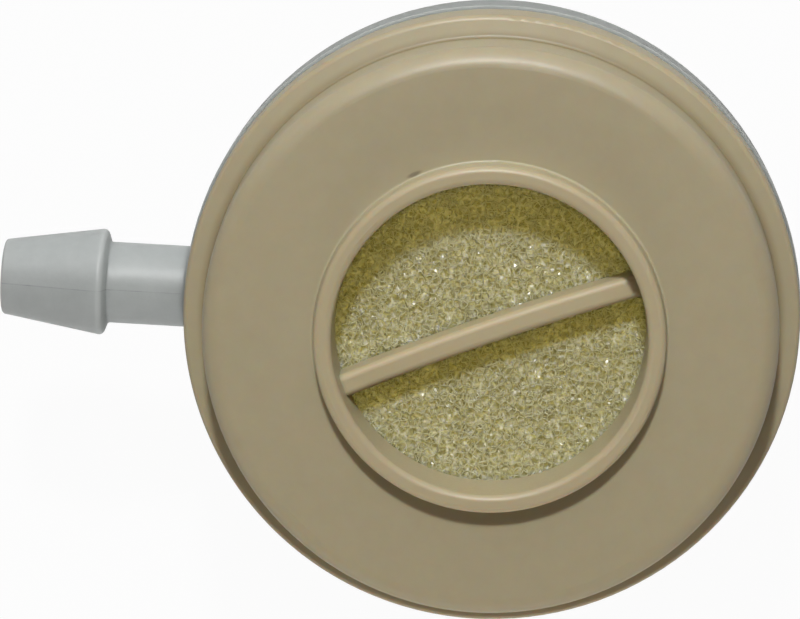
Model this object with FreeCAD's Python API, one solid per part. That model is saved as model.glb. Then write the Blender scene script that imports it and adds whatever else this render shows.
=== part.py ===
import FreeCAD, Part
import math
import os

# Heat and moisture exchanger for a tracheostomy tube, in millimetres.
# A moulded cover and a moulded drum close round a disc of foam. The wearer breathes
# through the collar on the face, the foam and the socket on the back, and an oxygen
# line pushes on the barbed nozzle at the side.
# +Z is the axis of the disc, towards the collar. The nozzle points along -X.
# The origin is the middle of the socket's mouth, on which the part stands.

V = FreeCAD.Vector
UP = V(0, 0, 1)
CENTRE = V(0, 0, 0)

# Airway socket: a female 15 mm cone, one in forty on the diameter
socket_mouth_radius = 7.735
socket_taper = 1 / 40
socket_wall = 1.3
socket_projection = 14.5
socket_outer_draft = 0.1
socket_lead_in = 0.3
socket_end_radius = 0.35
socket_root_radius = 0.9

# Drum, the grey shell that carries the socket and the nozzle
drum_stand_out = 0.2
drum_height = 5.8
drum_floor = 1.5
drum_draft = 0.1
drum_edge_radius = 2.4
drum_inner_draft = 0.1
drum_floor_corner = 0.8

# Upstand of the drum, which plugs into the cover's skirt
upstand_height = 2.1
upstand_wall = 1.02
upstand_chamfer = 0.3

# Ribs on the drum's floor, which hold the foam off the socket and the oxygen inlet
rib_count = 6
rib_thickness = 1.1
rib_bridge_depth = 1.9
rib_start_angle = 30

# Oxygen nozzle
nozzle_axis_rise = 2.9
nozzle_neck_length = 5.5
nozzle_neck_radius = 2.68
nozzle_bore_radius = 1.35
nozzle_root_radius = 0.3
barb_length = 6.7
barb_tip_radius = 2.47
barb_radius = 3.55
barb_back_slope = 0.3
barb_back_corner = 0.35
barb_tip_corner = 0.22
barb_root_radius = 0.12
bore_lead_in = 0.25
bore_run_in = 2.0

# Cover, the tan face: rim, skirt, raised plateau, collar and crossbar
flange_radius = 20.0
flange_height = 3.5
rim_slope = 0.3
rim_edge_radius = 0.4
skirt_wall = 1.05
skirt_edge_radius = 0.2
groove_radius = 0.25
rim_width = 1.45
plateau_rise = 4.55
plateau_crown = 0.2
plateau_wall = 1.4
plateau_side_wall = 1.3
plateau_draft = 0.1
shoulder_radius = 1.25
inner_corner_radius = 0.4
collar_radius = 11.28
collar_wall = 1.3
collar_rise = 1.65
collar_draft = 0.08
collar_root_radius = 0.15
lip_edge_radius = 0.42

# Stop ring: the collar's tube runs on below the roof, and the foam bears on its end
stop_depth = 1.15
stop_wall = 1.3
stop_edge_radius = 0.15

# Crossbar over the mouth of the collar, slightly bowed in plan
bar_width = 1.5
bar_angle = 22.5
bar_bow = 0.3
bar_set_down = 2.2
bar_edge_radius = 0.42

# Foam disc
foam_thickness = 5.0

# Clearances, and how far one form runs into another before they are joined
joint_gap = 0.08
upstand_end_gap = 0.2
foam_gap = 0.1
root_overlap = 0.1
fillet_room = 0.03

# Levels
underside = socket_projection
floor_top = underside + drum_floor
parting_line = underside + drum_height
face = parting_line + flange_height
shoulder = face + plateau_rise
cover_underside = shoulder - plateau_wall
lip = shoulder + collar_rise
bar_top = lip - bar_set_down
foam_top = cover_underside - stop_depth
foam_bottom = foam_top - foam_thickness
nozzle_axis = underside + nozzle_axis_rise

# Radii and reach that follow from the fits
skirt_bore = flange_radius - skirt_wall
upstand_radius = skirt_bore - joint_gap
drum_radius = flange_radius + drum_stand_out
drum_inner_radius = upstand_radius - upstand_wall
nozzle_reach = drum_radius + nozzle_neck_length + barb_length
plateau_radius = flange_radius - rim_width
chamber_radius = plateau_radius - plateau_side_wall
foam_radius = chamber_radius - foam_gap
collar_bore = collar_radius - collar_wall
socket_radius = socket_mouth_radius + socket_wall


def socket_radius_at(level):
    """Radius of the tapered socket at a height above its mouth."""
    return socket_mouth_radius - level * socket_taper / 2


def rounded_face(corners):
    """Flat face in the plane y = 0 from corners (x, z) or (x, z, radius), rounded where they say."""
    points = [V(corner[0], 0, corner[1]) for corner in corners]
    radii = [corner[2] if len(corner) > 2 else 0 for corner in corners]
    count = len(points)
    starts, ends, arcs = [], [], []
    for i, point in enumerate(points):
        back = (points[i - 1] - point).normalize()
        ahead = (points[(i + 1) % count] - point).normalize()
        half_turn = back.getAngle(ahead) / 2
        reach = radii[i] / math.tan(half_turn) if radii[i] else 0
        starts.append(point + back * reach)
        ends.append(point + ahead * reach)
        if not radii[i]:
            arcs.append(None)
            continue
        bisector = (back + ahead).normalize()
        middle = point + bisector * (radii[i] / math.sin(half_turn) - radii[i])
        arcs.append(Part.Arc(starts[i], middle, ends[i]).toShape())
    edges = []
    for i in range(count):
        if arcs[i]:
            edges.append(arcs[i])
        following = starts[(i + 1) % count]
        if ends[i].distanceToPoint(following) > 1e-6:
            edges.append(Part.makeLine(ends[i], following))
    return Part.Face(Part.Wire(edges))


def turned(corners):
    """Solid of revolution about the Z axis from a section given as corners."""
    return rounded_face(corners).revolve(CENTRE, UP, 360)


def turned_along_nozzle(corners):
    """Solid of revolution about the nozzle's axis. The corners give radius and reach outwards."""
    solid = turned(corners)
    solid.rotate(CENTRE, V(0, 1, 0), -90)
    solid.translate(V(0, 0, nozzle_axis))
    return solid


def bar_side(offset):
    """Bowed line across the collar at the crossbar's foot, from left to right."""
    half_span = collar_bore + collar_wall / 2
    left = V(-half_span, offset - bar_bow / 2, foam_top)
    middle = V(0, offset + bar_bow / 2, foam_top)
    right = V(half_span, offset - bar_bow / 2, foam_top)
    return Part.Arc(left, middle, right).toShape()


def crossbar():
    """Upright blade across the collar with a rounded top, bowed sideways in plan."""
    near_side = bar_side(-bar_width / 2)
    far_side = bar_side(bar_width / 2)
    foot = Part.makeRuledSurface(near_side, far_side)
    blade = foot.extrude(UP * (bar_top - foam_top))
    top_edges = [
        edge
        for edge in blade.Edges
        if edge.BoundBox.ZMin > foam_top + bar_edge_radius and edge.Length > collar_bore
    ]
    blade = blade.makeFillet(bar_edge_radius, top_edges)
    blade.rotate(CENTRE, UP, bar_angle)
    return blade


def front_cover():
    """Cover moulded in one piece, open underneath for the foam and the drum's upstand."""
    recess_top = parting_line + upstand_height + upstand_end_gap
    section = [
        (flange_radius, parting_line, skirt_edge_radius),
        (flange_radius, face - rim_slope, rim_edge_radius),
        (plateau_radius, face, groove_radius),
        (plateau_radius - plateau_draft, shoulder, shoulder_radius),
        (collar_radius, shoulder + plateau_crown, collar_root_radius),
        (collar_radius - collar_draft, lip, lip_edge_radius),
        (collar_bore + collar_draft, lip, lip_edge_radius),
        (collar_bore, foam_top, stop_edge_radius),
        (collar_bore + stop_wall, foam_top, stop_edge_radius),
        (collar_bore + stop_wall, cover_underside),
        (chamber_radius, cover_underside, inner_corner_radius),
        (chamber_radius, recess_top),
        (skirt_bore, recess_top),
        (skirt_bore, parting_line),
    ]
    return turned(section).fuse(crossbar()).removeSplitter()


def drum_shell():
    """Drum with its floor, upstand and airway socket, before the nozzle and ribs."""
    floor_radius = drum_inner_radius - drum_inner_draft
    section = [
        (socket_radius_at(0) + socket_lead_in, 0),
        (socket_radius - socket_outer_draft, 0, socket_end_radius),
        (socket_radius, underside, socket_root_radius),
        (drum_radius - drum_draft, underside, drum_edge_radius),
        (drum_radius, parting_line),
        (upstand_radius, parting_line),
        (upstand_radius, parting_line + upstand_height, upstand_chamfer),
        (drum_inner_radius, parting_line + upstand_height),
        (floor_radius, floor_top, drum_floor_corner),
        (socket_radius_at(floor_top), floor_top, socket_lead_in),
        (socket_radius_at(socket_lead_in), socket_lead_in),
    ]
    return turned(section)


def ribs():
    """Spokes on the floor that meet on the axis and arch over the socket."""
    height = foam_bottom - floor_top
    arch_rise = height - rib_bridge_depth
    mouth = socket_radius_at(floor_top)
    arch_radius = (mouth**2 + arch_rise**2) / (2 * arch_rise)
    arch = Part.makeSphere(arch_radius, V(0, 0, floor_top + arch_rise - arch_radius))
    reach = drum_inner_radius + root_overlap
    spokes = []
    for i in range(rib_count):
        spoke = Part.makeBox(reach, rib_thickness, height, V(0, -rib_thickness / 2, floor_top))
        spoke.rotate(CENTRE, UP, rib_start_angle + i * 360 / rib_count)
        spokes.append(spoke)
    star = spokes[0].multiFuse(spokes[1:]).removeSplitter()
    return star.cut(arch)


def nozzle_outside():
    """Barb and neck, which run into the wall of the drum."""
    barb_back = nozzle_reach - barb_length
    inner_end = drum_inner_radius + root_overlap
    return turned_along_nozzle(
        [
            (0, inner_end),
            (nozzle_neck_radius, inner_end),
            (nozzle_neck_radius, barb_back - barb_back_slope, barb_root_radius),
            (barb_radius, barb_back, barb_back_corner),
            (barb_tip_radius, nozzle_reach, barb_tip_corner),
            (0, nozzle_reach),
        ]
    )


def nozzle_bore():
    """Bore of the nozzle, through the drum's wall into the space under the foam."""
    inner_end = drum_inner_radius - bore_run_in
    return turned_along_nozzle(
        [
            (0, inner_end),
            (nozzle_bore_radius, inner_end),
            (nozzle_bore_radius, nozzle_reach - bore_lead_in),
            (nozzle_bore_radius + bore_lead_in, nozzle_reach),
            (0, nozzle_reach),
        ]
    )


def on_nozzle_root(edge):
    """Whether an edge lies where the nozzle's neck meets the outside of the drum."""
    for point in edge.discretize(5):
        from_nozzle_axis = math.hypot(point.y, point.z - nozzle_axis)
        if abs(from_nozzle_axis - nozzle_neck_radius) > fillet_room or point.x > 0:
            return False
        if not drum_radius - drum_edge_radius < math.hypot(point.x, point.y) < drum_radius:
            return False
    return True


def with_nozzle_root(body):
    """The drum with a fillet where the nozzle's neck leaves its wall."""
    room = parting_line - nozzle_axis - nozzle_neck_radius - fillet_room
    root_edges = [edge for edge in body.Edges if on_nozzle_root(edge)]
    return body.makeFillet(min(nozzle_root_radius, room), root_edges)


def rear_housing():
    """Drum, socket, ribs and nozzle, moulded in one piece."""
    body = with_nozzle_root(drum_shell().fuse(nozzle_outside()))
    return body.fuse(ribs()).cut(nozzle_bore()).removeSplitter()


def foam_disc():
    """Disc of open-cell foam between the ribs and the underside of the cover."""
    return Part.makeCylinder(foam_radius, foam_thickness, V(0, 0, foam_bottom))


os.makedirs("parts", exist_ok=True)
pieces = {
    "front_cover": front_cover(),
    "rear_housing": rear_housing(),
    "foam_disc": foam_disc(),
}
for name, shape in pieces.items():
    shape.exportStep(f"parts/{name}.step")
    print(name, shape.isValid(), len(shape.Solids), round(shape.Volume, 1))
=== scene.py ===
"""Looks of a heat and moisture exchanger for a tracheostomy tube.

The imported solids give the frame. The tan cover and the grey housing keep their
solids and get their plastics here. The foam is built here with real open cells.
Sizes in the classes are millimetres, in the frame of the solids: +Z out of the
collar, the nozzle along -X, the origin in the middle of the socket's mouth.
"""

import logging
import math
from dataclasses import dataclass, field
from enum import Enum

import bmesh
import bpy
import numpy as np
from mathutils import Matrix, Vector


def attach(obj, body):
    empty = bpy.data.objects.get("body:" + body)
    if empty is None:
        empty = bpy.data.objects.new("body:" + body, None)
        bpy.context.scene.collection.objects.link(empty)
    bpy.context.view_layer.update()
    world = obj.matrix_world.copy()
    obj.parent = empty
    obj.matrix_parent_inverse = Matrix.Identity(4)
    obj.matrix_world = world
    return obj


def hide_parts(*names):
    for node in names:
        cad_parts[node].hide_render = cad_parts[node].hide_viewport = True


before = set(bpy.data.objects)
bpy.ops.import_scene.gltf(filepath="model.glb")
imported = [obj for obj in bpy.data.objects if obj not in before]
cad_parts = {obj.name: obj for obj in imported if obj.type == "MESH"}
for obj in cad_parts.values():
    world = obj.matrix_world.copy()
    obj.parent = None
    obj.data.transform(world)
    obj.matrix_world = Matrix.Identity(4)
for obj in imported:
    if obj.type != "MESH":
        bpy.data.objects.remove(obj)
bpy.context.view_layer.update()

MM = 0.001
IMAGE_SIZE = (800, 619)

# Sockets of a Mix node that mixes colours: its two colours and its result
MIX_A, MIX_B, MIX_RESULT = 6, 7, 2

# The range in which most values of a noise texture lie
NOISE_LOW, NOISE_HIGH = 0.3, 0.7

# Lengths in millimetres that count as nothing when points are compared
SAME_LEVEL = 1e-6
SAME_POINT = 1e-5
FLAT_CORNER = 1e-9

log = logging.getLogger("exchanger")

Colour = tuple[float, float, float, float]


class Side(Enum):
    """The two faces of the foam that show."""

    FRONT = "front"
    BACK = "back"


def linear(hex_colour: str) -> Colour:
    """Turn an sRGB hex colour into the linear colour that a shader takes.

    Args:
        hex_colour: Six hex digits after a hash sign.

    Returns:
        Red, green, blue and an alpha of one, linear.
    """
    digits = hex_colour.lstrip("#")
    channels = [int(digits[i : i + 2], 16) / 255 for i in (0, 2, 4)]
    red, green, blue = (
        c / 12.92 if c <= 0.04045 else ((c + 0.055) / 1.055) ** 2.4 for c in channels
    )
    return red, green, blue, 1.0


def add_node(
    tree: bpy.types.NodeTree,
    kind: str,
    inputs: dict[str | int, object] | None = None,
    **settings: object,
) -> bpy.types.Node:
    """Add one node, set its properties, and link or set its inputs.

    Args:
        tree: The node tree that gets the node.
        kind: Blender's type name of the node.
        inputs: Input name or index, and the socket to link or the value to set.
        **settings: Properties of the node itself.

    Returns:
        The new node.
    """
    node = tree.nodes.new(kind)
    for name, value in settings.items():
        setattr(node, name, value)
    for name, value in (inputs or {}).items():
        if isinstance(value, bpy.types.NodeSocket):
            tree.links.new(value, node.inputs[name])
        else:
            node.inputs[name].default_value = value
    return node


def new_material(name: str) -> tuple[bpy.types.Material, bpy.types.NodeTree]:
    """Make an empty node material.

    Args:
        name: Name of the material.

    Returns:
        The material and its cleared node tree.
    """
    material = bpy.data.materials.new(name)
    material.use_nodes = True
    material.node_tree.nodes.clear()
    return material, material.node_tree


def output(tree: bpy.types.NodeTree, shader: bpy.types.NodeSocket) -> None:
    """Link a shader to the material's surface."""
    add_node(tree, "ShaderNodeOutputMaterial", {"Surface": shader})


def from_axis(tree: bpy.types.NodeTree, place: bpy.types.NodeSocket) -> bpy.types.NodeSocket:
    """Find how far a point is from the disc's axis.

    Args:
        tree: The node tree that gets the nodes.
        place: The point on the piece.

    Returns:
        The distance in metres.
    """
    in_plan = add_node(
        tree, "ShaderNodeVectorMath", {0: place, 1: (1.0, 1.0, 0.0)}, operation="MULTIPLY"
    )
    reach = add_node(tree, "ShaderNodeVectorMath", {0: in_plan.outputs[0]}, operation="LENGTH")
    return reach.outputs["Value"]


def object_from(
    name: str, bm: bmesh.types.BMesh, smooth_angle: float = 30.0
) -> bpy.types.Object:
    """Turn a finished bmesh into an object at the origin, with its sharp edges marked.

    Args:
        name: Name of the object and of its mesh.
        bm: The mesh in millimetres, which is freed.
        smooth_angle: Edges that turn by more degrees than this stay sharp.

    Returns:
        The object, linked into the scene, in metres.
    """
    bmesh.ops.scale(bm, vec=(MM, MM, MM), verts=bm.verts)
    for face in bm.faces:
        face.smooth = True
    sharpest = math.radians(smooth_angle)
    for edge in bm.edges:
        edge.smooth = len(edge.link_faces) == 2 and edge.calc_face_angle(0.0) < sharpest
    mesh = bpy.data.meshes.new(name)
    bm.to_mesh(mesh)
    bm.free()
    obj = bpy.data.objects.new(name, mesh)
    bpy.context.scene.collection.objects.link(obj)
    return obj


def spun(section: list[tuple[float, float]], steps: int) -> bmesh.types.BMesh:
    """Spin a section round the Z axis into a closed shell.

    Args:
        section: Corners as radius and height, from the axis round to the axis.
        steps: Facets in a full turn.

    Returns:
        The closed mesh, with its faces outwards.
    """
    bm = bmesh.new()
    corners = [bm.verts.new((radius, 0.0, height)) for radius, height in section]
    edges = [bm.edges.new(pair) for pair in zip(corners, corners[1:])]
    bmesh.ops.spin(
        bm,
        geom=corners + edges,
        cent=(0, 0, 0),
        axis=(0, 0, 1),
        angle=math.tau,
        steps=steps,
        use_merge=True,
    )
    bmesh.ops.remove_doubles(bm, verts=bm.verts, dist=SAME_POINT)
    bmesh.ops.recalc_face_normals(bm, faces=bm.faces)
    return bm


@dataclass(frozen=True)
class MouldedTanAbs:
    """Injection-moulded ABS in tan, from a mould with a fine spark-eroded texture.

    The texture breaks the gloss into a soft satin, so edges show a broad pale line
    and flat faces stay even, with only a faint cloudiness where the melt flowed. Light
    bleeds through the slim collar and bar, and their paler tan is painted light. The
    groove round the plateau gets a painted shade of darker brown, and one small scuff
    stands at the collar's foot.
    """

    name: str = "abs_moulded_satin_tan"
    light: str = "#a0977c"
    dark: str = "#9d9479"
    # Painted shade: a darker brown for the groove round the plateau's foot.
    groove_shade_colour: str = "#75633f"
    groove_radius: float = 18.5
    groove_level: float = 23.85
    groove_reach: float = 0.7
    groove_shade_strength: float = 0.62
    # Painted light: a paler tan for the collar and the bar.
    painted_light_tan: str = "#ada283"
    thin_radius: float = 11.4
    bar_radius: float = 9.8
    collar_share: float = 0.55
    wall_fade: float = 0.1
    scuff: str = "#4a3a2c"
    scuff_place: tuple[float, float] = (-5.33, 10.22)
    scuff_turn: float = 27.5
    scuff_size: tuple[float, float] = (0.55, 0.17)
    scuff_fade: tuple[float, float] = (0.4, 1.2)
    scuff_share: float = 0.55
    roughness: float = 0.45
    roughness_spread: float = 0.04
    ior: float = 1.53
    grain: float = 0.16
    grain_depth: float = 0.004
    cloud: float = 1.4
    ripple: float = 3.5
    ripple_depth: float = 0.006
    bleed: float = 1.0
    bleed_share: float = 0.5
    bleed_by_colour: tuple[float, float, float] = (1.0, 0.35, 0.12)

    def build(self) -> bpy.types.Material:
        """Build the material.

        Returns:
            The finished material.
        """
        material, tree = new_material(self.name)
        place = add_node(tree, "ShaderNodeTexCoord").outputs["Object"]
        cloud = add_node(
            tree,
            "ShaderNodeTexNoise",
            {"Vector": place, "Scale": 1 / (self.cloud * MM), "Detail": 4.0, "Roughness": 0.6},
        )
        share = add_node(
            tree,
            "ShaderNodeMapRange",
            {"Value": cloud.outputs["Fac"], "From Min": NOISE_LOW, "From Max": NOISE_HIGH},
        )
        clean = add_node(
            tree,
            "ShaderNodeMix",
            {
                "Factor": share.outputs["Result"],
                MIX_A: linear(self.dark),
                MIX_B: linear(self.light),
            },
            data_type="RGBA",
        )
        # Painted light makes the collar and the bar paler.
        painted_light_mixed = add_node(
            tree,
            "ShaderNodeMix",
            {
                "Factor": self.painted_light_share(tree, place),
                MIX_A: clean.outputs[MIX_RESULT],
                MIX_B: linear(self.painted_light_tan),
            },
            data_type="RGBA",
        )
        # Painted shade darkens the groove round the plateau's foot.
        groove_shaded = add_node(
            tree,
            "ShaderNodeMix",
            {
                "Factor": self.in_groove(tree, place),
                MIX_A: painted_light_mixed.outputs[MIX_RESULT],
                MIX_B: linear(self.groove_shade_colour),
            },
            data_type="RGBA",
        )
        colour = add_node(
            tree,
            "ShaderNodeMix",
            {
                "Factor": self.scuffed(tree, place),
                MIX_A: groove_shaded.outputs[MIX_RESULT],
                MIX_B: linear(self.scuff),
            },
            data_type="RGBA",
        )
        grain = add_node(
            tree,
            "ShaderNodeTexNoise",
            {"Vector": place, "Scale": 1 / (self.grain * MM), "Detail": 3.0},
        )
        ripple = add_node(
            tree,
            "ShaderNodeTexNoise",
            {"Vector": place, "Scale": 1 / (self.ripple * MM), "Detail": 1.0},
        )
        wavy = add_node(
            tree,
            "ShaderNodeBump",
            {"Height": ripple.outputs["Fac"], "Distance": self.ripple_depth * MM, "Strength": 1.0},
        )
        bump = add_node(
            tree,
            "ShaderNodeBump",
            {
                "Height": grain.outputs["Fac"],
                "Distance": self.grain_depth * MM,
                "Strength": 1.0,
                "Normal": wavy.outputs["Normal"],
            },
        )
        rough = add_node(
            tree,
            "ShaderNodeMapRange",
            {
                "Value": grain.outputs["Fac"],
                "From Min": NOISE_LOW,
                "From Max": NOISE_HIGH,
                "To Min": self.roughness - self.roughness_spread,
                "To Max": self.roughness + self.roughness_spread,
            },
        )
        shader = add_node(
            tree,
            "ShaderNodeBsdfPrincipled",
            {
                "Base Color": colour.outputs[MIX_RESULT],
                "Roughness": rough.outputs["Result"],
                "IOR": self.ior,
                "Subsurface Weight": self.bleed_share,
                "Subsurface Radius": self.bleed_by_colour,
                "Subsurface Scale": self.bleed * MM,
                "Normal": bump.outputs["Normal"],
            },
        )
        output(tree, shader.outputs["BSDF"])
        return material

    def painted_light_share(
        self, tree: bpy.types.NodeTree, place: bpy.types.NodeSocket
    ) -> bpy.types.NodeSocket:
        """Find where a paler tan is painted on as light: the collar, and more so the bar.

        Args:
            tree: The node tree that gets the nodes.
            place: The point on the cover.

        Returns:
            The share of the painted light, from nought on the plateau.
        """
        reach = from_axis(tree, place)
        shares = [
            add_node(
                tree,
                "ShaderNodeMapRange",
                {
                    "Value": reach,
                    "From Min": edge * MM,
                    "From Max": (edge + self.wall_fade) * MM,
                    "To Min": 1.0,
                    "To Max": outside,
                },
            ).outputs["Result"]
            for edge, outside in ((self.thin_radius, 0.0), (self.bar_radius, self.collar_share))
        ]
        both = add_node(
            tree, "ShaderNodeMath", {0: shares[0], 1: shares[1]}, operation="MULTIPLY"
        )
        return both.outputs[0]

    def in_groove(
        self, tree: bpy.types.NodeTree, place: bpy.types.NodeSocket
    ) -> bpy.types.NodeSocket:
        """Find how much painted shade darkens the groove round the plateau's foot.

        Args:
            tree: The node tree that gets the nodes.
            place: The point on the cover.

        Returns:
            The share of painted shade, from nought away from the groove.
        """
        height = add_node(tree, "ShaderNodeSeparateXYZ", {"Vector": place}).outputs["Z"]
        section = add_node(
            tree, "ShaderNodeCombineXYZ", {"X": from_axis(tree, place), "Z": height}
        )
        away = add_node(
            tree,
            "ShaderNodeVectorMath",
            {
                0: section.outputs["Vector"],
                1: (self.groove_radius * MM, 0.0, self.groove_level * MM),
            },
            operation="DISTANCE",
        )
        groove_shade_fade = add_node(
            tree,
            "ShaderNodeMapRange",
            {
                "Value": away.outputs["Value"],
                "From Max": self.groove_reach * MM,
                "To Min": self.groove_shade_strength,
                "To Max": 0.0,
            },
            interpolation_type="SMOOTHSTEP",
        )
        return groove_shade_fade.outputs["Result"]

    def scuffed(
        self, tree: bpy.types.NodeTree, place: bpy.types.NodeSocket
    ) -> bpy.types.NodeSocket:
        """Find the small dark scuff at the collar's foot.

        Args:
            tree: The node tree that gets the nodes.
            place: The point on the cover.

        Returns:
            The share of the scuff, from nought outside it.
        """
        along, across = self.scuff_size
        x, y = self.scuff_place
        local = add_node(
            tree,
            "ShaderNodeMapping",
            {
                "Vector": place,
                "Location": (x * MM, y * MM, 0.0),
                "Rotation": (0.0, 0.0, math.radians(self.scuff_turn)),
                "Scale": (along * MM, across * MM, 1.0),
            },
            vector_type="TEXTURE",
        )
        rub = add_node(
            tree, "ShaderNodeVectorMath", {0: local.outputs["Vector"]}, operation="LENGTH"
        )
        share = add_node(
            tree,
            "ShaderNodeMapRange",
            {
                "Value": rub.outputs["Value"],
                "From Min": self.scuff_fade[0],
                "From Max": self.scuff_fade[1],
                "To Min": self.scuff_share,
                "To Max": 0.0,
            },
            interpolation_type="SMOOTHSTEP",
        )
        return share.outputs["Result"]


@dataclass(frozen=True)
class MouldedGreyPolypropylene:
    """Injection-moulded polypropylene in pale grey, from a blasted mould.

    It is milky: light enters the wall, so the barb looks soft and its bands of light
    have no hard edge. The drum's wall gets a deeper grey than the nozzle, which is
    painted shade. The nozzle has a fine worn line where the mould's halves met, and a
    few specks.
    """

    name: str = "polypropylene_moulded_satin_grey"
    light: str = "#a2a7a7"
    dark: str = "#9ca1a1"
    # Painted shade: the drum's wall gets a deeper grey than the nozzle.
    drum_painted_shade_light: str = "#8c918f"
    drum_painted_shade_dark: str = "#868b89"
    drum_radius: float = 20.2
    root_length: float = 0.5
    roughness: float = 0.47
    roughness_spread: float = 0.05
    ior: float = 1.49
    grain: float = 0.2
    grain_depth: float = 0.006
    cloud: float = 1.1
    seam: str = "#6d7273"
    seam_width: float = 0.05
    seam_share: float = 0.5
    mark_core: float = 0.3
    wear: float = 1.2
    wear_range: tuple[float, float] = (0.35, 0.65)
    wear_least: float = 0.25
    speck_spacing: float = 2.3
    speck_size: float = 0.07
    milk_depth: float = 2.5
    milk_share: float = 1.0

    def build(self) -> bpy.types.Material:
        """Build the material.

        Returns:
            The finished material.
        """
        material, tree = new_material(self.name)
        place = add_node(tree, "ShaderNodeTexCoord").outputs["Object"]
        cloud = add_node(
            tree,
            "ShaderNodeTexNoise",
            {"Vector": place, "Scale": 1 / (self.cloud * MM), "Detail": 4.0, "Roughness": 0.6},
        )
        share = add_node(
            tree,
            "ShaderNodeMapRange",
            {"Value": cloud.outputs["Fac"], "From Min": NOISE_LOW, "From Max": NOISE_HIGH},
        )
        nozzle, drum = (
            add_node(
                tree,
                "ShaderNodeMix",
                {"Factor": share.outputs["Result"], MIX_A: linear(dark), MIX_B: linear(light)},
                data_type="RGBA",
            )
            for dark, light in ((self.dark, self.light), (self.drum_painted_shade_dark, self.drum_painted_shade_light))
        )
        along_nozzle = add_node(
            tree,
            "ShaderNodeMapRange",
            {
                "Value": from_axis(tree, place),
                "From Min": self.drum_radius * MM,
                "From Max": (self.drum_radius + self.root_length) * MM,
            },
            interpolation_type="SMOOTHSTEP",
        )
        marked = add_node(
            tree,
            "ShaderNodeMix",
            {
                "Factor": self.marks(tree, place),
                MIX_A: nozzle.outputs[MIX_RESULT],
                MIX_B: linear(self.seam),
            },
            data_type="RGBA",
        )
        # The drum's deeper grey here is painted shade.
        colour = add_node(
            tree,
            "ShaderNodeMix",
            {
                "Factor": along_nozzle.outputs["Result"],
                MIX_A: drum.outputs[MIX_RESULT],
                MIX_B: marked.outputs[MIX_RESULT],
            },
            data_type="RGBA",
        )
        grain = add_node(
            tree,
            "ShaderNodeTexNoise",
            {"Vector": place, "Scale": 1 / (self.grain * MM), "Detail": 3.0},
        )
        bump = add_node(
            tree,
            "ShaderNodeBump",
            {"Height": grain.outputs["Fac"], "Distance": self.grain_depth * MM, "Strength": 1.0},
        )
        rough = add_node(
            tree,
            "ShaderNodeMapRange",
            {
                "Value": grain.outputs["Fac"],
                "From Min": NOISE_LOW,
                "From Max": NOISE_HIGH,
                "To Min": self.roughness - self.roughness_spread,
                "To Max": self.roughness + self.roughness_spread,
            },
        )
        shader = add_node(
            tree,
            "ShaderNodeBsdfPrincipled",
            {
                "Base Color": colour.outputs[MIX_RESULT],
                "Roughness": rough.outputs["Result"],
                "IOR": self.ior,
                "Subsurface Weight": self.milk_share,
                "Subsurface Radius": (1.0, 1.0, 1.0),
                "Subsurface Scale": self.milk_depth * MM,
                "Normal": bump.outputs["Normal"],
            },
        )
        output(tree, shader.outputs["BSDF"])
        return material

    def marks(self, tree: bpy.types.NodeTree, place: bpy.types.NodeSocket) -> bpy.types.NodeSocket:
        """Find the fine line where the mould's halves met, and a few dark specks.

        Args:
            tree: The node tree that gets the nodes.
            place: The point on the nozzle.

        Returns:
            The share of the marks, from nought on plain plastic.
        """
        aside = add_node(tree, "ShaderNodeSeparateXYZ", {"Vector": place}).outputs["Y"]
        off_seam = add_node(tree, "ShaderNodeMath", {0: aside}, operation="ABSOLUTE")
        specks = add_node(
            tree,
            "ShaderNodeTexVoronoi",
            {"Vector": place, "Scale": 1 / (self.speck_spacing * MM)},
        )
        shares = []
        for value, reach in (
            (off_seam.outputs[0], self.seam_width * MM),
            (specks.outputs["Distance"], self.speck_size / self.speck_spacing),
        ):
            mark = add_node(
                tree,
                "ShaderNodeMapRange",
                {
                    "Value": value,
                    "From Min": self.mark_core * reach,
                    "From Max": reach,
                    "To Min": self.seam_share,
                    "To Max": 0.0,
                },
            )
            shares.append(mark.outputs["Result"])
        worn = add_node(
            tree,
            "ShaderNodeTexNoise",
            {"Vector": place, "Scale": 1 / (self.wear * MM), "Detail": 2.0},
        )
        shown = add_node(
            tree,
            "ShaderNodeMapRange",
            {
                "Value": worn.outputs["Fac"],
                "From Min": self.wear_range[0],
                "From Max": self.wear_range[1],
                "To Min": self.wear_least,
            },
        )
        line = add_node(
            tree,
            "ShaderNodeMath",
            {0: shares[0], 1: shown.outputs["Result"]},
            operation="MULTIPLY",
        )
        both = add_node(
            tree, "ShaderNodeMath", {0: line.outputs[0], 1: shares[1]}, operation="MAXIMUM"
        )
        return both.outputs[0]


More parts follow.
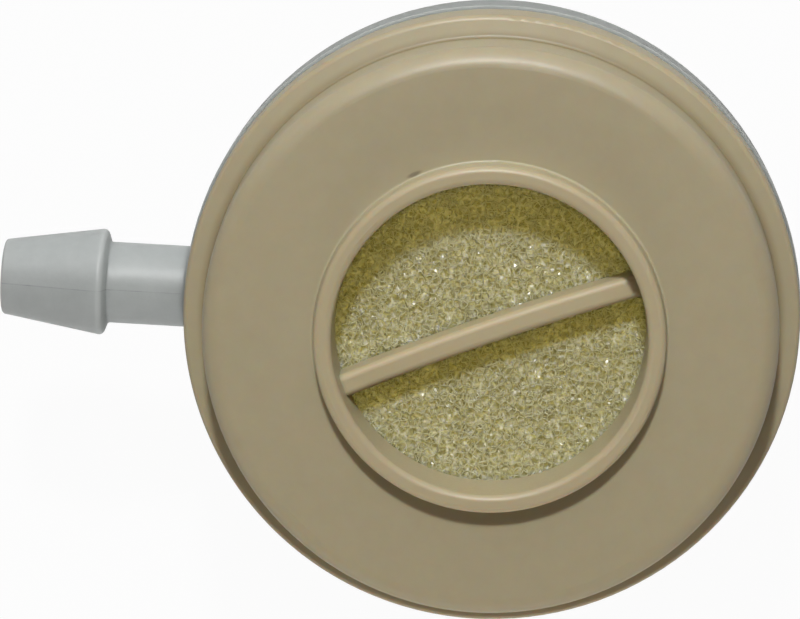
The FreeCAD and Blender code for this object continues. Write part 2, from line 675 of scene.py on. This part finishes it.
@dataclass(frozen=True)
class ReticulatedFoamStruts:
    """Struts of reticulated polyether polyurethane foam, pale yellow-green.

    The struts are smooth from the melt, so each one that faces the lamp gives a
    small white glint, while the light that has passed other struts turns olive.
    """

    name: str = "polyurethane_reticulated_struts"
    light: str = "#c6c9bb"
    dark: str = "#bbbca5"
    roughness: float = 0.2
    ior: float = 1.5
    cloud: float = 0.9
    cloud_range: tuple[float, float] = (0.35, 0.65)
    glow: float = 0.5

    def build(self) -> bpy.types.Material:
        """Build the material.

        Returns:
            The finished material.
        """
        material, tree = new_material(self.name)
        place = add_node(tree, "ShaderNodeTexCoord").outputs["Object"]
        cloud = add_node(
            tree,
            "ShaderNodeTexNoise",
            {"Vector": place, "Scale": 1 / (self.cloud * MM), "Detail": 3.0},
        )
        share = add_node(
            tree,
            "ShaderNodeMapRange",
            {
                "Value": cloud.outputs["Fac"],
                "From Min": self.cloud_range[0],
                "From Max": self.cloud_range[1],
            },
        )
        colour = add_node(
            tree,
            "ShaderNodeMix",
            {
                "Factor": share.outputs["Result"],
                MIX_A: linear(self.dark),
                MIX_B: linear(self.light),
            },
            data_type="RGBA",
        )
        solid = add_node(
            tree,
            "ShaderNodeBsdfPrincipled",
            {
                "Base Color": colour.outputs[MIX_RESULT],
                "Roughness": self.roughness,
                "IOR": self.ior,
            },
        )
        through = add_node(tree, "ShaderNodeBsdfTranslucent", {"Color": colour.outputs[MIX_RESULT]})
        mixed = add_node(
            tree,
            "ShaderNodeMixShader",
            {0: self.glow, 1: solid.outputs["BSDF"], 2: through.outputs["BSDF"]},
        )
        output(tree, mixed.outputs["Shader"])
        return material


@dataclass(frozen=True)
class ReticulatedFoamDepth:
    """The same foam further in, where the struts run together to the eye.

    Cell-sized patches of paler strut and darker pores, whose darker colour is painted
    shade in the cells. Small films across the cells lean all ways and glint here and
    there, and light passes through from cell to cell, which turns it olive in the shade.
    """

    name: str = "polyurethane_reticulated_depth"
    pale: str = "#b3b4a3"
    # Painted shade: the darker colour of the pores inside the cells.
    pore_painted_shade: str = "#939378"
    roughness: float = 0.3
    ior: float = 1.5
    cell: float = 0.5
    strut_range: tuple[float, float] = (0.04, 0.22)
    film: float = 0.16
    film_tilt: float = 1.1
    depth: float = 3.0
    depth_by_colour: tuple[float, float, float] = (1.0, 0.85, 0.35)

    def build(self) -> bpy.types.Material:
        """Build the material.

        Returns:
            The finished material.
        """
        material, tree = new_material(self.name)
        place = add_node(tree, "ShaderNodeTexCoord").outputs["Object"]
        cells = add_node(
            tree,
            "ShaderNodeTexVoronoi",
            {"Vector": place, "Scale": 1 / (self.cell * MM)},
            feature="DISTANCE_TO_EDGE",
        )
        share = add_node(
            tree,
            "ShaderNodeMapRange",
            {
                "Value": cells.outputs["Distance"],
                "From Min": self.strut_range[0],
                "From Max": self.strut_range[1],
            },
        )
        # The darker pores here are painted shade in the cells.
        colour = add_node(
            tree,
            "ShaderNodeMix",
            {"Factor": share.outputs["Result"], MIX_A: linear(self.pale), MIX_B: linear(self.pore_painted_shade)},
            data_type="RGBA",
        )
        films = add_node(
            tree, "ShaderNodeTexVoronoi", {"Vector": place, "Scale": 1 / (self.film * MM)}
        )
        lean = add_node(
            tree,
            "ShaderNodeVectorMath",
            {0: films.outputs["Color"], 1: (0.5, 0.5, 0.5)},
            operation="SUBTRACT",
        )
        leaning = add_node(
            tree,
            "ShaderNodeVectorMath",
            {
                0: lean.outputs[0],
                1: (self.film_tilt, self.film_tilt, self.film_tilt),
                2: add_node(tree, "ShaderNodeNewGeometry").outputs["Normal"],
            },
            operation="MULTIPLY_ADD",
        )
        normal = add_node(
            tree, "ShaderNodeVectorMath", {0: leaning.outputs[0]}, operation="NORMALIZE"
        )
        shader = add_node(
            tree,
            "ShaderNodeBsdfPrincipled",
            {
                "Base Color": colour.outputs[MIX_RESULT],
                "Roughness": self.roughness,
                "IOR": self.ior,
                "Subsurface Weight": 1.0,
                "Subsurface Radius": self.depth_by_colour,
                "Subsurface Scale": self.depth * MM,
                "Normal": normal.outputs[0],
            },
        )
        output(tree, shader.outputs["BSDF"])
        return material


@dataclass
class Cover:
    """The tan cover, which keeps its solid."""

    finish: MouldedTanAbs = field(default_factory=MouldedTanAbs)

    def dress(self) -> bpy.types.Object:
        """Give the cover's solid its plastic.

        Returns:
            The cover.
        """
        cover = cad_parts["front_cover"]
        cover.material_slots[0].material = self.finish.build()
        return cover


@dataclass
class Housing:
    """The grey housing with its nozzle and socket, which keeps its solid."""

    finish: MouldedGreyPolypropylene = field(default_factory=MouldedGreyPolypropylene)

    def dress(self) -> bpy.types.Object:
        """Give the housing's solid its plastic.

        Returns:
            The housing.
        """
        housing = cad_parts["rear_housing"]
        housing.material_slots[0].material = self.finish.build()
        return housing


@dataclass
class Foam:
    """The foam disc: a body with a shallow hollow in each visible face, and real struts in them."""

    radius: float = 17.1
    bottom: float = 20.8
    top: float = 25.8
    front_reach: float = 10.3
    front_depth: float = 0.4
    back_reach: float = 7.9
    back_depth: float = 0.5
    turn_steps: int = 128
    cell_spacing: float = 0.47
    jitter: float = 0.38
    strut_radius: float = 0.045
    neighbours: int = 34
    shortest: float = 0.3
    root: float = 0.12
    front_seed: int = 41
    back_seed: int = 42
    fill: float = 0.5
    struts: ReticulatedFoamStruts = field(default_factory=ReticulatedFoamStruts)
    depth: ReticulatedFoamDepth = field(default_factory=ReticulatedFoamDepth)

    def body(self) -> bpy.types.Object:
        """Build the body of the foam, which fills the chamber.

        Returns:
            The body, in metres.
        """
        floor, ceiling = self.bottom + self.back_depth, self.top - self.front_depth
        section = [
            (0.0, floor),
            (self.back_reach, floor),
            (self.back_reach, self.bottom),
            (self.radius, self.bottom),
            (self.radius, self.top),
            (self.front_reach, self.top),
            (self.front_reach, ceiling),
            (0.0, ceiling),
        ]
        return object_from("foam_body", spun(section, self.turn_steps))

    def seeds(self, reach: float, low: float, high: float, rng: np.random.Generator) -> np.ndarray:
        """Scatter the middles of the foam's cells.

        Args:
            reach: Radius of the patch.
            low: Lower level of the patch.
            high: Upper level of the patch.
            rng: Source of the scatter.

        Returns:
            A grid of points, with two cells to spare on every side.
        """
        step = self.cell_spacing
        across = math.ceil(reach / step) + 3
        deep = math.ceil((high - low) / step / 2) + 3
        x, y, z = np.meshgrid(
            np.arange(-across, across + 1),
            np.arange(-across, across + 1),
            np.arange(-deep, deep + 1),
            indexing="ij",
        )
        grid = np.stack([x, y, z], axis=-1).astype(float)
        grid += rng.uniform(-self.jitter, self.jitter, grid.shape)
        return grid * step + np.array([0.0, 0.0, (low + high) / 2])

    def cell_edges(self, grid: np.ndarray, reach: float, low: float, high: float) -> np.ndarray:
        """Find the edges where three cells meet, which is where foam has its struts.

        The corners of the cell round a point are the faces of the hull of its
        neighbours' inverted distances, so each hull edge is one edge of the cell.

        Args:
            grid: The middles of the cells.
            reach: Radius of the patch.
            low: Lower level of the patch.
            high: Upper level of the patch.

        Returns:
            The two ends of each edge, once each.
        """
        names = np.arange(grid[..., 0].size).reshape(grid.shape[:3])
        half = self.cell_spacing
        wanted = (
            (np.hypot(grid[..., 0], grid[..., 1]) < reach + half)
            & (grid[..., 2] > low - half)
            & (grid[..., 2] < high + half)
        )
        wanted[:2], wanted[-2:] = False, False
        wanted[:, :2], wanted[:, -2:] = False, False
        wanted[:, :, :2], wanted[:, :, -2:] = False, False
        edges = []
        for i, j, k in np.argwhere(wanted):
            block = (slice(i - 2, i + 3), slice(j - 2, j + 3), slice(k - 2, k + 3))
            middle, own = grid[i, j, k], names[i, j, k]
            away = grid[block].reshape(-1, 3) - middle
            others = names[block].ravel()
            square = (away**2).sum(axis=1)
            near = np.argsort(square, kind="stable")[1 : self.neighbours + 1]
            duals = 2 * away[near] / square[near, None]
            edges += self.hull_edges(duals, others[near], middle, own)
        return np.array(edges)

    @staticmethod
    def hull_edges(duals: np.ndarray, others: np.ndarray, middle: np.ndarray, own: int) -> list:
        """List the cell's edges that belong to this cell first.

        Args:
            duals: The neighbours' inverted distances.
            others: The neighbours' numbers.
            middle: The cell's middle.
            own: The cell's own number.

        Returns:
            Pairs of end points.
        """
        bm = bmesh.new()
        for number, point in enumerate(duals):
            bm.verts.new(point).index = number
        bmesh.ops.convex_hull(bm, input=bm.verts, use_existing_faces=False)
        bm.normal_update()
        corner = {}
        for face in bm.faces:
            reach = face.normal.dot(face.verts[0].co)
            flat = abs(reach) <= FLAT_CORNER
            corner[face] = middle if flat else middle + np.array(face.normal) / reach
        found = []
        for edge in bm.edges:
            if len(edge.link_faces) != 2:
                continue
            if own < min(others[edge.verts[0].index], others[edge.verts[1].index]):
                first, second = edge.link_faces
                found.append((corner[first], corner[second]))
        bm.free()
        return found

    def clipped(self, edges: np.ndarray, reach: float, low: float, high: float) -> np.ndarray:
        """Cut the struts at the patch's two levels and drop what lies outside.

        Args:
            edges: The two ends of each strut.
            reach: Radius of the patch.
            low: Lower level of the patch.
            high: Upper level of the patch.

        Returns:
            The struts that are left.
        """
        start, end = edges[:, 0].copy(), edges[:, 1].copy()
        for level, sign in ((low, 1.0), (high, -1.0)):
            for a, b in ((start, end), (end, start)):
                outside = sign * (a[:, 2] - level) < 0
                crossing = outside & (sign * (b[:, 2] - level) > 0)
                share = (level - a[crossing, 2]) / (b[crossing, 2] - a[crossing, 2])
                a[crossing] += (b[crossing] - a[crossing]) * share[:, None]
        within = (
            (start[:, 2] >= low - SAME_LEVEL)
            & (end[:, 2] >= low - SAME_LEVEL)
            & (start[:, 2] <= high + SAME_LEVEL)
            & (end[:, 2] <= high + SAME_LEVEL)
            & (np.hypot(start[:, 0], start[:, 1]) < reach)
            & (np.hypot(end[:, 0], end[:, 1]) < reach)
            & (np.linalg.norm(end - start, axis=1) > self.shortest * self.strut_radius)
        )
        return np.stack([start[within], end[within]], axis=1)

    def net(self, side: Side) -> bpy.types.Object:
        """Build the struts in one face of the foam.

        Args:
            side: Which face.

        Returns:
            The net of struts, in metres.
        """
        front = side is Side.FRONT
        reach = self.front_reach if front else self.back_reach
        low = self.top - self.front_depth - self.root if front else self.bottom
        high = self.top if front else self.bottom + self.back_depth + self.root
        inset = self.strut_radius
        rng = np.random.default_rng(self.front_seed if front else self.back_seed)
        grid = self.seeds(reach, low, high, rng)
        edges = self.cell_edges(grid, reach, low, high)
        struts = self.clipped(edges, reach - inset, low + inset, high - inset)
        log.info("%s face of the foam: %d struts", side.value, len(struts))
        return self.tubes(f"foam_{side.value}_struts", struts)

    def tubes(self, name: str, struts: np.ndarray) -> bpy.types.Object:
        """Give each strut the three-sided section that foam struts have.

        Args:
            name: Name of the piece.
            struts: The two ends of each strut.

        Returns:
            The struts as one mesh, in metres.
        """
        section = bpy.data.curves.new("strut_section", "CURVE")
        ring = section.splines.new("POLY")
        ring.points.add(2)
        for number, point in enumerate(ring.points):
            turn = math.tau * number / 3
            size = self.strut_radius * MM
            point.co = (size * math.cos(turn), size * math.sin(turn), 0.0, 1.0)
        ring.use_cyclic_u = True
        profile = bpy.data.objects.new("strut_section", section)
        lines = bpy.data.curves.new(name, "CURVE")
        lines.dimensions = "3D"
        lines.bevel_mode = "OBJECT"
        lines.bevel_object = profile
        lines.use_fill_caps = True
        for start, end in struts:
            line = lines.splines.new("POLY")
            line.points.add(1)
            line.points[0].co = (*(start * MM), 1.0)
            line.points[1].co = (*(end * MM), 1.0)
        drawn = bpy.data.objects.new(name, lines)
        for obj in (profile, drawn):
            bpy.context.scene.collection.objects.link(obj)
        graph = bpy.context.evaluated_depsgraph_get()
        mesh = bpy.data.meshes.new_from_object(drawn.evaluated_get(graph))
        mesh.name = name
        for obj in (drawn, profile):
            bpy.data.objects.remove(obj)
        net = bpy.data.objects.new(name, mesh)
        bpy.context.scene.collection.objects.link(net)
        return net

    def build(self) -> list[bpy.types.Object]:
        """Build the foam's pieces and dress them.

        Returns:
            The body and the two nets.
        """
        depth, struts = self.depth.build(), self.struts.build()
        pieces = [self.body(), self.net(Side.FRONT), self.net(Side.BACK)]
        for piece, material in zip(pieces, (depth, struts, struts)):
            piece.data.materials.clear()
            piece.data.materials.append(material)
            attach(piece, "root")
        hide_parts("foam_disc")
        return pieces


@dataclass
class Studio:
    """Floor, world, lamps and camera.

    A small key lamp gives the sharp shadows, a broad one on the same side grades them,
    and a low dim card opposite opens the shaded edges.
    """

    floor_radius: float = 3000.0
    floor_sides: int = 64
    paper_tooth: float = 0.4
    tooth_depth: float = 0.01
    tooth_strength: float = 0.3
    floor_colour: str = "#b4b4b4"
    floor_glow: float = 0.96
    floor_sheen: float = 0.1
    fill_colour: Colour = (1.0, 0.66, 0.4, 1.0)
    fill_low: float = 0.03
    fill_high: float = 0.12
    wall_top: float = 20.0
    key: float = 0.65
    key_azimuth: float = 94.0
    key_tilt: float = 41.7
    key_distance: float = 500.0
    key_angle: float = 0.1
    sky: float = 0.22
    sky_tilt: float = 58.0
    sky_angle: float = 1.2
    soft_distance: float = 300.0
    well: float = 0.74
    well_angle: float = 0.12
    well_colour: tuple[float, float, float] = (1.0, 0.79, 0.2)
    card: float = 0.12
    card_angle: float = 0.6
    card_azimuth: float = 270.0
    card_tilt: float = 82.0
    face_height: float = 23.8
    camera_distance: float = 280.0
    camera_tilt: float = 11.36
    camera_azimuth: float = 88.75
    camera_up_azimuth: float = 93.13
    focal_pixels: float = 4325.0
    face_pixel: tuple[float, float] = (490.8, 322.6)
    sensor_width: float = 36.0
    clip: tuple[float, float] = (0.01, 20.0)

    @staticmethod
    def direction(azimuth: float, tilt: float) -> Vector:
        """Unit vector at an azimuth in plan and a tilt from the disc's axis, in degrees."""
        a, t = math.radians(azimuth), math.radians(tilt)
        return Vector((math.sin(t) * math.cos(a), math.sin(t) * math.sin(a), math.cos(t)))

    @staticmethod
    def mirrored(tree: bpy.types.NodeTree) -> bpy.types.NodeSocket:
        """Find whether a ray comes from a mirror or glass.

        Args:
            tree: The node tree that gets the nodes.

        Returns:
            One for such a ray and nought for any other.
        """
        path = add_node(tree, "ShaderNodeLightPath").outputs
        either = add_node(
            tree,
            "ShaderNodeMath",
            {0: path["Is Glossy Ray"], 1: path["Is Transmission Ray"]},
            operation="MAXIMUM",
        )
        return either.outputs[0]

    @staticmethod
    def with_camera(tree: bpy.types.NodeTree, others: bpy.types.NodeSocket) -> bpy.types.NodeSocket:
        """Add the camera's own rays to a share.

        Args:
            tree: The node tree that gets the nodes.
            others: The share for the other rays.

        Returns:
            One for a ray from the camera and the given share for any other.
        """
        path = add_node(tree, "ShaderNodeLightPath").outputs
        either = add_node(
            tree,
            "ShaderNodeMath",
            {0: path["Is Camera Ray"], 1: others},
            operation="MAXIMUM",
        )
        return either.outputs[0]

    def floor(self) -> bpy.types.Object:
        """Lay a white floor under the socket, which keeps the part's shadow.

        Returns:
            The floor.
        """
        bm = bmesh.new()
        bmesh.ops.create_circle(
            bm, cap_ends=True, segments=self.floor_sides, radius=self.floor_radius
        )
        floor = object_from("floor", bm)
        material, tree = new_material("white_sweep_paper")
        place = add_node(tree, "ShaderNodeTexCoord").outputs["Object"]
        tooth = add_node(
            tree, "ShaderNodeTexNoise", {"Vector": place, "Scale": 1 / (self.paper_tooth * MM)}
        )
        bump = add_node(
            tree,
            "ShaderNodeBump",
            {
                "Height": tooth.outputs["Fac"],
                "Distance": self.tooth_depth * MM,
                "Strength": self.tooth_strength,
            },
        )
        paper = add_node(
            tree,
            "ShaderNodeBsdfDiffuse",
            {"Color": linear(self.floor_colour), "Normal": bump.outputs["Normal"]},
        )
        glow = add_node(tree, "ShaderNodeEmission", {"Strength": 1.0})
        sheen = add_node(
            tree,
            "ShaderNodeMath",
            {0: self.mirrored(tree), 1: self.floor_sheen},
            operation="MULTIPLY",
        )
        share = add_node(
            tree,
            "ShaderNodeMath",
            {0: self.with_camera(tree, sheen.outputs[0]), 1: self.floor_glow},
            operation="MULTIPLY",
        )
        mixed = add_node(
            tree,
            "ShaderNodeMixShader",
            {0: share.outputs[0], 1: paper.outputs["BSDF"], 2: glow.outputs["Emission"]},
        )
        output(tree, mixed.outputs["Shader"])
        floor.data.materials.append(material)
        return floor

    def world(self) -> None:
        """Surround the part with dim fill light, and show a white wall all round behind it."""
        world = bpy.data.worlds.new("studio")
        bpy.context.scene.world = world
        world.use_nodes = True
        tree = world.node_tree
        tree.nodes.clear()
        towards = add_node(tree, "ShaderNodeTexCoord").outputs["Generated"]
        height = add_node(tree, "ShaderNodeSeparateXYZ", {"Vector": towards}).outputs["Z"]
        overhead = add_node(
            tree,
            "ShaderNodeMapRange",
            {"Value": height, "To Min": self.fill_low, "To Max": self.fill_high},
        )
        fill = add_node(
            tree,
            "ShaderNodeBackground",
            {"Color": self.fill_colour, "Strength": overhead.outputs["Result"]},
        )
        white = add_node(
            tree, "ShaderNodeBackground", {"Color": (1.0, 1.0, 1.0, 1.0), "Strength": 1.0}
        )
        on_wall = add_node(
            tree,
            "ShaderNodeMath",
            {0: height, 1: math.sin(math.radians(self.wall_top))},
            operation="LESS_THAN",
        )
        reflected = add_node(
            tree,
            "ShaderNodeMath",
            {0: on_wall.outputs[0], 1: self.mirrored(tree)},
            operation="MULTIPLY",
        )
        mixed = add_node(
            tree,
            "ShaderNodeMixShader",
            {
                0: self.with_camera(tree, reflected.outputs[0]),
                1: fill.outputs[0],
                2: white.outputs[0],
            },
        )
        add_node(tree, "ShaderNodeOutputWorld", {"Surface": mixed.outputs[0]})

    def lamp(
        self, name: str, towards: Vector, distance: float, angle: float, level: float
    ) -> bpy.types.Object:
        """Hang a round soft box that faces the middle of the disc's face.

        Args:
            name: Name of the lamp.
            towards: Unit vector from the face to the lamp.
            distance: Distance from the face in millimetres.
            angle: Width of the soft box as a share of its distance.
            level: How bright a white face lying flat looks under it.

        Returns:
            The lamp.
        """
        light = bpy.data.lights.new(name, "AREA")
        light.shape = "DISK"
        light.size = angle * distance * MM
        light.energy = level * math.pi**2 * (distance * MM) ** 2 / towards.z
        lamp = bpy.data.objects.new(name, light)
        centre = Vector((0.0, 0.0, self.face_height * MM))
        lamp.location = centre + towards * distance * MM
        lamp.rotation_euler = towards.to_track_quat("Z", "Y").to_euler()
        bpy.context.scene.collection.objects.link(lamp)
        return lamp

    def light_well(self, foam: list[bpy.types.Object]) -> bpy.types.Object:
        """Add a soft lamp for the foam alone, for the light that the cover's wall lets through.

        Args:
            foam: The foam's pieces.

        Returns:
            The lamp.
        """
        above = self.direction(self.camera_azimuth, self.camera_tilt)
        lamp = self.lamp("well", above, self.soft_distance, self.well_angle, self.well)
        lamp.data.color = self.well_colour
        lamp.visible_glossy = False
        lit = bpy.data.collections.new("lit_by_well")
        for piece in foam:
            lit.objects.link(piece)
        lamp.light_linking.receiver_collection = lit
        return lamp

    def camera(self) -> bpy.types.Object:
        """Set up the camera so that the middle of the face falls on its pixel.

        Returns:
            The camera.
        """
        data = bpy.data.cameras.new("camera")
        data.sensor_width = self.sensor_width
        data.lens = self.focal_pixels * self.sensor_width / IMAGE_SIZE[0]
        data.clip_start, data.clip_end = self.clip
        camera = bpy.data.objects.new("camera", data)
        centre = Vector((0.0, 0.0, self.face_height * MM))
        back = self.direction(self.camera_azimuth, self.camera_tilt)
        up = self.direction(self.camera_up_azimuth, 90.0)
        right = up.cross(back).normalized()
        looking = Matrix((right, back.cross(right), back)).transposed()
        sight = Vector(
            (
                self.face_pixel[0] - IMAGE_SIZE[0] / 2,
                IMAGE_SIZE[1] / 2 - self.face_pixel[1],
                -self.focal_pixels,
            )
        )
        turn = sight.rotation_difference(Vector((0.0, 0.0, -1.0))).to_matrix()
        camera.matrix_world = Matrix.LocRotScale(
            centre + back * self.camera_distance * MM, (looking @ turn).to_quaternion(), None
        )
        bpy.context.scene.collection.objects.link(camera)
        bpy.context.scene.camera = camera
        return camera

    def build(self) -> None:
        """Set up the whole studio."""
        self.camera()
        towards = self.direction(self.key_azimuth, self.key_tilt)
        self.lamp("key", towards, self.key_distance, self.key_angle, self.key)
        overhead = self.direction(self.key_azimuth, self.sky_tilt)
        self.lamp("sky", overhead, self.soft_distance, self.sky_angle, self.sky)
        opposite = self.direction(self.card_azimuth, self.card_tilt)
        card = self.lamp("card", opposite, self.soft_distance, self.card_angle, self.card)
        card.visible_glossy = False
        self.world()
        self.floor()
        bpy.context.scene.view_settings.view_transform = "Standard"


def main() -> None:
    """Build and dress the exchanger, then the studio."""
    logging.basicConfig(level=logging.INFO, format="%(name)s: %(message)s")
    studio = Studio()
    studio.build()
    log.info("studio ready")
    log.info("dressed %s", Cover().dress().name)
    log.info("dressed %s", Housing().dress().name)
    foam = Foam().build()
    for piece in foam:
        log.info("built %s with %d faces", piece.name, len(piece.data.polygons))
    studio.light_well(foam)


if __name__ == "__main__":
    main()
